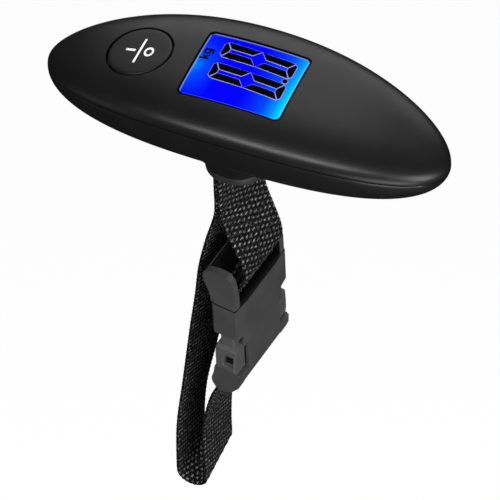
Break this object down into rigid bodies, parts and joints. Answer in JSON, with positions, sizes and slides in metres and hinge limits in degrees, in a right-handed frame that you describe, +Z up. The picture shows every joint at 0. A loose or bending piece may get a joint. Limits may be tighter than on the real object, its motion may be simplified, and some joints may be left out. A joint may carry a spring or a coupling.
{
  "type": "digital luggage scale",
  "caption": "Hand-held digital luggage scale: arched body with display and power button, hung webbing sling with a side-release buckle.",
  "frame": {"origin": "middle of the body on the seam between its two shells, where a hand grips it", "axes": "+X along the body away from the button, +Y away from the user, +Z up through the display, with the sling hanging towards -Z"},
  "size_m": [0.143, 0.053, 0.223],
  "materials": {
    "shell": "satin",
    "button": "satin",
    "window": "clear, polished",
    "display": "lit blue",
    "light_guide": "diffusing white",
    "holder": "matt",
    "connector": "soft, striped",
    "board": "solder mask",
    "chip": "matt",
    "switch": "matt",
    "plunger": "matt",
    "beam": "machined",
    "gauge": "foil",
    "steel": "zinc plated",
    "wire_red": "insulation",
    "wire_black": "insulation",
    "cell": "polished",
    "contact": "spring sheet",
    "webbing": "coarse weave",
    "thread": "bonded thread",
    "buckle": "satin",
    "press_pad": "satin"
  },
  "bodies": {
    "housing": {"top_shell": "shell", "bottom_shell": "shell", "neck_collar": "shell", "display_window": "window", "display_holder": "holder", "lcd_glass": "display", "backlight": "light_guide", "display_connectors": "connector", "circuit_board": "board", "controller_chip": "chip", "tact_switch": "switch", "load_cell": "beam", "strain_gauges": "gauge", "load_cell_screws": "steel", "hanger_yoke": "steel", "yoke_screw": "steel", "strap_bar": "steel", "sensor_wires": "wire_red", "battery_wires": "wire_black", "coin_cell": "cell", "contact_negative": "contact", "contact_positive": "contact", "board_screws": "steel", "casing_screws": "steel", "strap_neck": "webbing"},
    "button": {"power_button": "button"},
    "plunger": {"switch_plunger": "plunger"},
    "cover": {"battery_cover": "shell"},
    "sling": {"strap_front": "webbing", "strap_long": "webbing", "strap_stitching": "thread", "buckle_plug": "buckle"},
    "arm_near": {"buckle_arm_near": "press_pad"},
    "arm_far": {"buckle_arm_far": "press_pad"},
    "socket": {"buckle_socket": "buckle"}
  },
  "joints": [
    {"name": "button_press", "type": "slide", "parent": "housing", "child": "button", "axis": [0, 0, -1], "range_m": [0, 0.0005], "stiffness_N_per_m": 400},
    {"name": "plunger_press", "type": "slide", "parent": "housing", "child": "plunger", "axis": [0, 0, -1], "range_m": [0, 0.0005]},
    {"name": "battery_cover_turn", "type": "hinge", "parent": "housing", "child": "cover", "pos_m": [0.03, 0, -0.0216], "axis": [0, 0, 1], "range_deg": [0, 35]},
    {"name": "sling_swing", "type": "hinge", "parent": "housing", "child": "sling", "pos_m": [-0.0046, 0.0006, -0.033], "axis": [0.1392, 0.9903, 0], "range_deg": [-50, 50], "deforming": ["strap_neck"]},
    {"name": "buckle_release", "type": "slide", "parent": "sling", "child": "socket", "axis": [0, 0, -1], "range_m": [0, 0.036], "deforming": ["strap_long", "buckle_arm_near", "buckle_arm_far"]},
    {"name": "arm_near_press", "type": "hinge", "parent": "sling", "child": "arm_near", "pos_m": [-0.0047, -0.01186, -0.098], "axis": [0.9903, -0.1392, 0], "range_deg": [0, 7], "stiffness_Nm_per_rad": 0.5},
    {"name": "arm_far_press", "type": "hinge", "parent": "sling", "child": "arm_far", "pos_m": [-0.00125, 0.0127, -0.098], "axis": [-0.9903, 0.1392, 0], "range_deg": [0, 7], "stiffness_Nm_per_rad": 0.5}
  ],
  "couplings": [
    {"joint": "plunger_press", "follows": "button_press", "ratio": 1}
  ]
}
